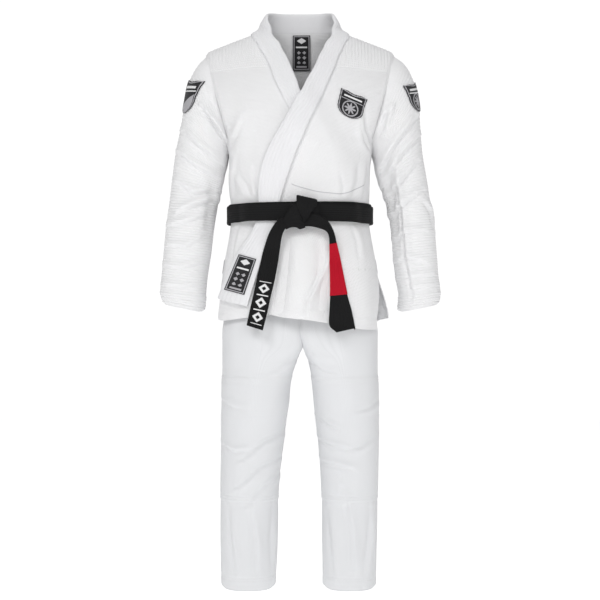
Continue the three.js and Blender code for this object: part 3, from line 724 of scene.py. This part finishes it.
for side, name, rows, folds in ((1, "left", left_sleeve_rows, left_sleeve_folds),
                                (-1, "right", right_sleeve_rows, right_sleeve_folds)):
    surface, run = tube_surface(rows)
    split = run[7]

    def sleeve(low, high, surface=surface, folds=folds, side=side, run=run):
        def place(u, v):
            turn, station = -180 + 360 * u, low + (high - low) * v
            station = station + 0.011 * np.abs(np.sin(np.radians(turn))) ** 8 * ease(station, 0.030, 0.0)
            flat = surface(turn, station)
            x, z = flat[:, 0], flat[:, 2] + shoulder_line
            front = ease(np.cos(np.radians(turn)), -0.25, 0.35)
            back = 1 - front
            creases = fold_height(x, z, folds) * (front + 0.7 * back)
            ribs = 0.0005 * np.sin(2 * np.pi * station / 0.0065)
            hem = 0.0016 * (ease(station, 0.040, 0.036) - 0.6 * np.exp(-((station - 0.012) / 0.002) ** 2)
                            - 0.6 * np.exp(-((station - 0.024) / 0.002) ** 2))
            at_seam = ease(station, run[-1] - 0.004, run[-1] - 0.05)
            return off_surface(surface, turn, station, (creases + ribs) * at_seam + hem, du=2.0, dv=0.004)
        return place

    upper = lay(f"sleeve_upper_{name}_cloth", 128, 180, (0.42, 0.24), sleeve(split, run[-1]), True)
    thicken(upper, cloth)
    lower = lay(f"sleeve_lower_{name}_cloth", 128, 300, (0.38, 0.37), sleeve(run[0], split), True)
    thicken(lower, cloth)
    upper_arm, lower_arm = f"upper_sleeve_{name}", f"lower_sleeve_{name}"
    finish_cloth(upper, rib_weave,
                 ("jacket", upper_arm, *shoulder_span(side)),
                 [f"sleeve_head_{name}", f"sleeve_upper_{name}", f"armpit_gusset_{name}"])
    finish_cloth(lower, rib_weave,
                 (upper_arm, lower_arm, (side * 0.263, 0.006, elbow_span[0] - shoulder_line),
                  (side * 0.263, 0.006, elbow_span[1] - shoulder_line)),
                 [f"sleeve_lower_{name}", f"cuff_tape_{name}"])

# ---- Trousers -----------------------------------------------------------------------------------
# Cotton twill trousers, each side cut as one leg and sewn to the other through the crotch, with a
# doubled knee panel from the upper thigh to the shin and a stitched hem.

left_leg_rows = [
    (56, 4, 190, 4, 71, 4, 2.3, 2.3), (56, 60, 191, 60, 72, 4, 2.3, 2.3),
    (55, 125, 192, 125, 72, 4, 2.3, 2.3), (54, 245, 194, 245, 76, 4, 2.3, 2.3),
    (51, 305, 195, 305, 80, 4, 2.3, 2.3), (46, 365, 196, 365, 84, 4, 2.3, 2.3),
    (39, 425, 196, 425, 89, 4, 2.3, 2.3), (36, 455, 196, 455, 92, 4, 2.4, 2.3),
    (30, 515, 195, 515, 99, 4, 2.7, 2.3), (25, 545, 194, 545, 104, 4, 3.2, 2.3),
    (17, 575, 194, 575, 110, 4, 4.2, 2.3), (5, 605, 194, 605, 116, 4, 8, 2.3),
    (-8, 640, 194, 640, 121, 4, 10, 2.3), (-8, 700, 184, 700, 118, 4, 10, 2.3),
    (-8, 800, 172, 800, 104, 4, 10, 2.3), (-8, 920, 158, 920, 102, 4, 10, 2.3),
    (-8, 1003, 160, 1003, 102, 4, 10, 2.3)]
right_leg_rows = [
    (-197, 4, -60, 4, 71, 4, 2.3, 2.3), (-198, 60, -60, 60, 72, 4, 2.3, 2.3),
    (-199, 125, -59, 125, 72, 4, 2.3, 2.3), (-198, 245, -54, 245, 76, 4, 2.3, 2.3),
    (-197, 305, -49, 305, 80, 4, 2.3, 2.3), (-196, 365, -41, 365, 84, 4, 2.3, 2.3),
    (-196, 425, -34, 425, 89, 4, 2.3, 2.3), (-195, 455, -29, 455, 92, 4, 2.3, 2.4),
    (-195, 515, -23, 515, 99, 4, 2.3, 2.7), (-194, 545, -15, 545, 104, 4, 2.3, 3.2),
    (-194, 575, -5, 575, 110, 4, 2.3, 4.2), (-194, 605, 8, 605, 116, 4, 2.3, 8),
    (-194, 640, 8, 640, 121, 4, 2.3, 10), (-184, 700, 8, 700, 118, 4, 2.3, 10),
    (-172, 800, 8, 800, 104, 4, 2.3, 10), (-158, 920, 8, 920, 102, 4, 2.3, 10),
    (-160, 1003, 8, 1003, 102, 4, 2.3, 10)]
left_leg_folds = [
    (8, 4.0, [(47, 425), (70, 410), (95, 398)]), (8, 4.0, [(45, 372), (80, 360), (120, 352)]),
    (9, 4.0, [(50, 318), (90, 312), (130, 300)]), (8, 3.0, [(180, 380), (150, 360), (120, 352)]),
    (10, 4.5, [(110, 212), (122, 160), (128, 60)]), (10, 5.0, [(172, 205), (168, 130), (156, 45)]),
    (10, 4.0, [(66, 200), (74, 120), (80, 40)]), (8, 3.0, [(100, 262), (114, 215), (118, 180)]),
    (8, 3.0, [(12, 575), (50, 545), (90, 535)]), (-24, 4.0, [(95, 640), (105, 520), (110, 440)]),
    (-22, -3.0, [(150, 620), (150, 500), (146, 420)]), (8, 2.5, [(192, 470), (165, 452), (140, 446)])]
right_leg_folds = [
    (9, 4.5, [(-40, 392), (-90, 372), (-140, 330)]), (9, 4.0, [(-48, 330), (-95, 312), (-150, 262)]),
    (9, 4.0, [(-52, 290), (-90, 262), (-130, 215)]), (8, 3.0, [(-190, 360), (-160, 345), (-120, 350)]),
    (10, 5.0, [(-66, 220), (-72, 130), (-70, 40)]), (10, 4.5, [(-120, 200), (-112, 120), (-108, 45)]),
    (10, 4.0, [(-176, 210), (-170, 130), (-160, 50)]), (8, 3.0, [(-10, 575), (-50, 548), (-90, 540)]),
    (-24, 4.0, [(-98, 640), (-108, 520), (-112, 440)]), (-22, -3.0, [(-150, 620), (-152, 500), (-148, 420)]),
    (8, 2.5, [(-192, 470), (-165, 455), (-135, 450)])]

trouser_twill = cotton("trouser_twill", "#E4E5E7", 0.0022, 0.0022, 0.0002, stagger=False)
trouser_cloth = 0.0024
knee_panel = (0.225, 0.528)
hem_low, hem_deep = 0.004, 0.030
for side, name, rows, folds in ((1, "left", left_leg_rows, left_leg_folds),
                                (-1, "right", right_leg_rows, right_leg_folds)):
    surface, run = tube_surface(rows)

    def leg(low, high, surface=surface, folds=folds):
        def place(u, v):
            turn, station = -180 + 360 * u, low + (high - low) * v
            station = station + 0.008 * np.abs(np.sin(np.radians(turn))) ** 6 * ease(station, 0.030, 0.0)
            flat = surface(turn, station)
            x, z = flat[:, 0], flat[:, 2] + shoulder_line
            front = ease(np.cos(np.radians(turn)), -0.3, 0.3)
            creases = fold_height(x, z, folds) * (front + 0.6 * (1 - front))
            on_front = ease(np.abs(turn), 96, 93)
            panel = 0.0014 * on_front * ease(z, knee_panel[0] - 0.002, knee_panel[0] + 0.001) * ease(
                z, knee_panel[1] + 0.002, knee_panel[1] - 0.001)
            stitches = np.zeros_like(z)
            for line in (knee_panel[0] + 0.005, knee_panel[0] + 0.012,
                         knee_panel[1] - 0.005, knee_panel[1] - 0.012):
                stitches -= 0.0007 * on_front * np.exp(-((z - line) / 0.0018) ** 2)
            for line in (hem_low + 0.004, hem_low + hem_deep - 0.004, hem_low + hem_deep + 0.002):
                stitches -= 0.0008 * np.exp(-((z - line) / 0.0018) ** 2)
            return off_surface(surface, turn, station, creases + panel + stitches, du=2.0, dv=0.004)
        return place

    split = run[6] + 0.010
    top = lay(f"trouser_upper_{name}_cloth", 120, 220, (0.55, 0.57), leg(split, run[-1]), True)
    thicken(top, trouser_cloth)
    bottom = lay(f"trouser_lower_{name}_cloth", 120, 220, (0.48, 0.43), leg(run[0], split), True)
    thicken(bottom, trouser_cloth)
    others = ["waistband_casing", "crotch_gusset"] if side > 0 else []
    finish_cloth(top, trouser_twill,
                 ("jacket", f"thigh_{name}", (side * 0.115, 0, 0.610 - shoulder_line),
                  (side * 0.115, 0, 0.452 - shoulder_line)),
                 [f"trouser_seat_{name}", f"trouser_thigh_{name}", f"knee_panel_upper_{name}"] + others)
    finish_cloth(bottom, trouser_twill,
                 (f"thigh_{name}", f"shin_{name}", (side * 0.12, 0, 0.420 - shoulder_line),
                  (side * 0.12, 0, 0.240 - shoulder_line)),
                 [f"trouser_shin_{name}", f"knee_panel_lower_{name}", f"leg_hem_tape_{name}"])

# ---- Belt ---------------------------------------------------------------------------------------
# A stiff black cotton belt, 45 mm wide and 4.4 mm thick, with eight rows of stitching along it. It
# goes twice round the waist and is tied in front in a flat knot, and its two ends hang down.

belt_black = cotton("black_belt_cotton", "#151516", 0.0016, 0.0016, 0.0002, stagger=False, roughness=0.75,
                    mottle=0.2, sheen=0.02, gloss=0.16)
belt_wide, belt_thick = 0.045, 0.0044
belt_middle = 0.9265


def strap(name, place, columns, rows, size, thick=belt_thick, rows_sewn=8, pad=0.0, slimness=14):
    """A sewn strap laid on place(across, along), which gives its inner face."""
    def outline(u, v):
        across, up = rounded_strip(u, slimness)
        wide = -pad + (1 + 2 * pad) * across
        groove = sum(np.exp(-((across - 0.06 - 0.88 * row / (rows_sewn - 1)) / 0.014) ** 2)
                     for row in range(rows_sewn))
        lift = thick * up - 0.0008 * groove * np.where(up > 0.6, 1, 0)
        return off_surface(place, wide, v, lift, du=0.02, dv=0.004)
    piece = lay(name, columns, rows, size, outline, closed=True)
    close_ends(piece)
    return piece


def finish_strap(piece, body, nodes, material=belt_black):
    piece.data.materials.append(material)
    if isinstance(body, str):
        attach(piece, body)
    else:
        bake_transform(piece)
    if nodes:
        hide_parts(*nodes)


def wrap(level, gap):
    def place(across, along):
        turn = 180 - 360 * along
        tilt = 0.0012 * np.sin(np.radians(turn * 2 + 40 * gap * 1000))
        height = level + tilt + (across - 0.5) * belt_wide
        over_lapels = ease(turn, -54, -36) * ease(turn, 55, 37)
        return on_jacket(turn, height * np.ones_like(turn), 0.0042 + 0.0130 * over_lapels + gap)
    return place


inner_wrap = strap("belt_inner_strap", wrap(belt_middle + 0.0048, 0.0), 60, 260, (0.1, 1.1))
outer_wrap = strap("belt_outer_strap", wrap(belt_middle, 0.0046), 60, 260, (0.1, 1.1))
finish_strap(inner_wrap, "jacket", ["belt_inner_wrap"])
finish_strap(outer_wrap, "jacket", ["belt_outer_wrap"])


def lobe(stations):
    """A strap seen from the front, through stations given as the two edges' x, z and y in millimetres."""
    stations = np.array(stations, float)
    steps = np.linspace(0, 1, len(stations))

    def place(across, along):
        wx, wz, wy, ex, ez, ey = (smooth_through(steps, stations[:, k], along) for k in range(6))
        x, z = wx + (ex - wx) * across, wz + (ez - wz) * across
        y = wy + (ey - wy) * across
        return np.stack([x, y, z - shoulder_line * 1000], axis=-1) / 1000
    return place


knot_parts = {
    "core": [(45, 900, -146, 45, 946, -146), (20, 894, -149, 20, 956, -149), (-6, 894, -149, -4, 956, -149),
             (-26, 900, -146, -26, 940, -146)],
    "left_lobe": [(12, 890, -149, 4, 922, -153), (0, 886, -153, -4, 946, -157),
                  (-10, 890, -155, -17, 941, -156), (-21, 890, -154, -28, 929, -155),
                  (-32, 886, -148, -40, 908, -149)],
    "top_flap": [(8, 904, -157, 12, 904, -157), (7, 911, -158, 19, 913, -157), (-2, 930, -160, 28, 928, -158),
                 (-8, 950, -159, 39, 942, -156), (-9, 962, -154, 41, 951, -152),
                 (-9, 965, -146, 40, 954, -145)]}
for part, stations in knot_parts.items():
    piece = strap(f"belt_knot_{part}", lobe(stations), 60, 60, (0.1, 0.05), rows_sewn=6)
    finish_strap(piece, "jacket", {"core": ["belt_knot"], "top_flap": ["belt_knot_loop"]}.get(part, []))


def front_y(x, z):
    """How far forward the front of the skirt is at a place seen from the front, in millimetres."""
    height = np.array([z / 1000])
    return on_jacket(turn_at(x / 1000, height), height, np.array([0.0172]))[0, 1] * 1000


def on_skirt(*edges):
    return [(wx, wz, front_y(wx, wz), ex, ez, front_y(ex, ez)) for wx, wz, ex, ez in edges]


right_tail_path = on_skirt((-127, 657, -87, 645), (-119, 695, -77, 686), (-110, 735, -68, 727),
                           (-102, 772, -59, 765), (-94, 808, -52, 803), (-87, 838, -47, 838)) + [
    (-80, 861, -150, -43, 868, -151), (-70, 884, -151, -36, 885, -151), (-57, 903, -150, -29, 893, -150),
    (-42, 916, -147, -20, 902, -148)]
left_tail_path = on_skirt((86, 640, 132, 650), (69, 657, 131, 653), (69, 690, 123, 692), (71, 727, 112, 731),
                          (71, 772, 103, 776), (70, 815, 95, 818)) + [
    (70, 852, -151, 87, 856, -152), (68, 872, -152, 83, 874, -153), (61, 882, -152, 77, 890, -154),
    (50, 887, -152, 66, 906, -154), (30, 892, -152, 42, 921, -154), (10, 893, -149, 18, 925, -150)]
right_tail_place, left_tail_place = lobe(right_tail_path), lobe(left_tail_path)
tail_span = {side: ((side * 0.07, -0.138, 0.893 - shoulder_line),
                    (side * 0.07, -0.138, 0.845 - shoulder_line)) for side in (1, -1)}
right_tail = strap("belt_tail_right_strap", right_tail_place, 60, 240, (0.1, 0.27))
left_tail = strap("belt_tail_left_strap", left_tail_place, 60, 260, (0.1, 0.30))
finish_strap(right_tail, ("jacket", "tail_right", *tail_span[-1]), ["belt_tail_right"])
finish_strap(left_tail, ("jacket", "tail_left", *tail_span[1]), ["belt_tail_left"])


def part_of(place, low, high, lift=0.0):
    """The stretch of a strap between two shares of its length, lifted forward."""
    def stretch(across, along):
        spot = place(across, low + (high - low) * along)
        spot[:, 1] -= lift
        return spot
    return stretch


rank_red = cotton("red_rank_cotton", "#BE0A26", 0.0016, 0.0016, 0.0002, stagger=False, roughness=0.8,
                  mottle=0.1, sheen=0.03, gloss=0.16)
share = 1 / (len(left_tail_path) - 1)
rank_bar = strap("rank_bar_cloth", part_of(left_tail_place, 3.0 * share, 5.97 * share, -0.0006), 60, 110,
                 (0.1, 0.12), thick=belt_thick + 0.0014, pad=0.025, rows_sewn=7)
finish_strap(rank_bar, ("jacket", "tail_left", *tail_span[1]), ["belt_rank_bar"], rank_red)

# ---- Badges and labels --------------------------------------------------------------------------
# Embroidered shields on the chest and both sleeves, woven labels inside the neck and on the lapel
# end, and a thread pattern on one belt end. They show plain diamonds, bars, and a star in a ring.

thread_black = cotton("black_embroidery", "#18181B", 0.0012, 0.0006, 0.0001, stagger=False, roughness=0.7)
thread_grey = cotton("grey_embroidery", "#B0AFB3", 0.0012, 0.0006, 0.0001, stagger=False, roughness=0.6)
thread_white = cotton("white_embroidery", "#E9E9EA", 0.0012, 0.0006, 0.0001, stagger=False, roughness=0.6)
threads = (thread_black, thread_grey, thread_white)


def badge(name, size, cells, place, paint, nodes, body, thick=0.0012):
    """A badge cut from a grid: paint(p, q) names each cell's thread, or -1 for no badge there. p and q
    run from -1 to 1 across it and from 0 at its foot to 1 at its top."""
    piece = lay(name, cells[0], cells[1], size, place)
    for thread in threads:
        piece.data.materials.append(thread)
    bm = bmesh.new()
    bm.from_mesh(piece.data)
    weave = bm.loops.layers.uv.active
    faces = list(bm.faces)
    spots = np.array([[sum(l[weave].uv[k] for l in f.loops) / 4 for k in (0, 1)] for f in faces])
    colours = paint(spots[:, 0] / size[0] * 2 - 1, spots[:, 1] / size[1])
    for face, colour in zip(faces, colours):
        face.material_index = max(int(colour), 0)
    bmesh.ops.delete(bm, geom=[f for f, c in zip(faces, colours) if c < 0], context="FACES")
    bm.to_mesh(piece.data)
    bm.free()
    thicken(piece, thick)
    if isinstance(body, str):
        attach(piece, body)
    else:
        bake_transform(piece)
    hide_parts(*nodes)
    return piece


def diamonds(p, q, across, along):
    """1 inside a row or field of diamonds."""
    return (np.abs((p * across) % 1 - 0.5) + np.abs((q * along) % 1 - 0.5)) < 0.36


def shield_paint(half_width, tall, top_colour, field):
    def paint(p, q):
        wide = np.where(q > 0.42, 0.94 + 0.06 * (q - 0.42) / 0.58,
                        0.94 * np.sqrt(np.clip(1 - (np.maximum(0.42 - q, 0) / 0.42) ** 2.2, 0, 1)))
        peak = 1 - 0.035 * np.cos(np.pi * p)
        gap = np.minimum((wide - np.abs(p)) * half_width, (peak - q) * tall)
        gap = np.minimum(gap, np.hypot(np.maximum(wide - np.abs(p), 0) * half_width, q * tall))
        colour = np.where(field(p, q), 1, 0)
        colour = np.where((q > 0.76) & (q < 0.83) & (np.abs(p) < 0.66), 2, colour)
        colour = np.where((q > 0.66) & (q < 0.69), top_colour, colour)
        colour = np.where(gap < 0.0060, 0, colour)
        colour = np.where((gap < 0.0042) & (gap > 0.0020), 1, colour)
        return np.where(gap < 0, -1, colour)
    return paint


def compass(p, q):
    """An eight-pointed star in a ring."""
    x, y = p, (q - 0.36) * 1.9
    radius, angle = np.hypot(x, y), np.arctan2(y, x)
    star = radius < 0.17 + 0.26 * np.abs(np.cos(4 * angle)) ** 2
    ring = np.abs(radius - 0.54) < 0.04
    return star | ring


def seen_on_front(corner, across, down, lift):
    """Places a badge on the outer front, from its top middle and its across and down steps seen in front."""
    def place(u, v):
        p, drop = u * 2 - 1, 1 - v
        x = (corner[0] + across[0] * p + down[0] * drop) / 1000
        height = (corner[1] + across[1] * p + down[1] * drop) / 1000
        turn = turn_at(x, height)
        return on_jacket(turn, height, left_lift(turn, height) + lift)
    return place


badge("chest_badge", (0.069, 0.063), (84, 76),
      seen_on_front((131, 1217), (31.5, -13), (-17, -58), 0.0018),
      shield_paint(0.0345, 0.063, 1, compass), ["chest_patch"], "jacket")


def label_paint(p, q):
    """A bordered label: a lozenge and a bar above, a field of diamonds below, and a plain bar at its foot."""
    edge_gap = np.minimum((1 - np.abs(p)) * 0.022, np.minimum(q, 1 - q) * 0.088)
    colour = np.zeros_like(p)
    lozenge = (np.abs(p) / 0.55 + np.abs(q - 0.84) / 0.085) < 1
    colour = np.where(lozenge, 2, colour)
    colour = np.where((q > 0.64) & (q < 0.68) & (np.abs(p) < 0.62), 2, colour)
    field = (q > 0.18) & (q < 0.54) & (np.abs(p) < 0.70) & diamonds(p, q, 1.6, 7)
    colour = np.where(field, 1, colour)
    colour = np.where((q > 0.085) & (q < 0.12) & (np.abs(p) < 0.6), 1, colour)
    return np.where((edge_gap < 0.0040) & (edge_gap > 0.0016), 1, colour)


def in_neck(u, v):
    x, height = -0.0185 + 0.045 * u, 1.309 + 0.084 * v
    return on_jacket(180 - turn_at(x, height), height, -cloth - 0.0022)


badge("neck_badge", (0.044, 0.088), (44, 88), in_neck, label_paint, ["neck_label"], "jacket", thick=0.0008)


def on_lapel_end(u, v):
    x = (-170.5 + 44.5 * u + 33 * v - 6 * u * v) / 1000
    height = (741 - 13 * u + 84 * v + u * v) / 1000
    turn = turn_at(x, height)
    return on_jacket(turn, height, cloth + 0.0006 + over_under(turn, height) + band_thick + 0.0016)


badge("lapel_badge", (0.044, 0.088), (44, 88), on_lapel_end, label_paint, ["lapel_label"], "jacket",
      thick=0.0010)


def at_heights(surface, run, turn, height, lift):
    """Points on a tube at given turns and heights."""
    stations = np.linspace(run[0], run[-1], 160)
    found = np.empty_like(turn)
    for i, (t, h) in enumerate(zip(turn, height)):
        levels = surface(np.full(160, t), stations)[:, 2] + shoulder_line
        found[i] = np.interp(h, levels, stations)
    return off_surface(surface, turn, found, lift, du=2.0, dv=0.004)


for side, name, rows, top_z, foot_z in ((1, "left", left_sleeve_rows, (1243, 1262), 1184),
                                        (-1, "right", right_sleeve_rows, (1266, 1253), 1180)):
    surface, run = tube_surface(rows)

    def on_shoulder(u, v, surface=surface, run=run, side=side, top_z=top_z, foot_z=foot_z):
        turn = (61 if side > 0 else -57) + 27 * (u * 2 - 1)
        top = (top_z[0] + (top_z[1] - top_z[0]) * u) / 1000
        height = foot_z / 1000 + (top - foot_z / 1000) * v
        return at_heights(surface, run, turn, height, np.full_like(u, 0.0030))

    def band_field(p, q, side=side):
        slope = q + 0.22 * p * side
        return (slope < 0.40) if side < 0 else compass(p, q)

    badge(f"shoulder_badge_{name}", (0.062, 0.078), (62, 78), on_shoulder,
          shield_paint(0.031, 0.078, 2, band_field), [f"shoulder_patch_{name}"],
          ("jacket", f"upper_sleeve_{name}", *shoulder_span(side)))


def tail_paint(p, q):
    """A chain of white diamonds with bars between them."""
    chain = (np.abs(p) / 0.8 + np.abs((q * 3) % 1 - 0.5) / 0.36) < 1
    hollow = (np.abs(p) / 0.8 + np.abs((q * 3) % 1 - 0.5) / 0.36) < 0.42
    bars = (np.abs((q * 3 + 0.5) % 1 - 0.5) < 0.05) & (np.abs(p) < 0.8)
    return np.where((chain & ~hollow) | bars, 2, -1)


tail_share = 1 / (len(right_tail_path) - 1)
tail_motif_place = part_of(right_tail_place, 0.22 * tail_share, 2.8 * tail_share, belt_thick + 0.0008)
badge("belt_thread_pattern", (0.036, 0.095), (44, 110),
      lambda u, v: tail_motif_place(0.10 + 0.80 * u, v), tail_paint, ["belt_tail_motif"], "tail_right",
      thick=0.0006)

# ---- Small sewn parts ---------------------------------------------------------------------------
# A square of cloth that stops the side vent from tearing, and the loops that guide the drawcord on
# the trousers' waistband, inside the jacket.

for side, name in ((1, "left"), (-1, "right")):
    def vent_stop(u, v, side=side):
        turn = side * 90 + 11 * (u - 0.5)
        return on_jacket(turn, 0.783 + 0.034 * v, np.full_like(u, cloth + 0.0022))
    patch = thicken(lay(f"side_vent_stop_{name}", 24, 20, (0.036, 0.034), vent_stop), 0.0014)
    finish_cloth(patch, twill, "jacket", [f"side_vent_patch_{name}"])

for side, name in ((1, "left"), (-1, "right")):
    low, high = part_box(f"drawcord_loop_{name}")
    middle_x, middle_z = ((low[k] + high[k]) / 2 * 1000 for k in (0, 2))
    half_high = (high[2] - low[2]) * 500
    front = low[1] * 1000 + 1.0
    loop_path = [(middle_x - 4, middle_z + rise * half_high + shoulder_line * 1000, front + off,
                  middle_x + 4, middle_z + rise * half_high + shoulder_line * 1000, front + off)
                 for rise, off in ((-1, 1.2), (0, 0), (1, 1.2))]
    loop = strap(f"drawcord_loop_{name}_tape", lobe(loop_path), 20, 12, (0.02, 0.03), thick=0.0015,
                 rows_sewn=2)
    finish_strap(loop, "jacket", [f"drawcord_loop_{name}"], twill)
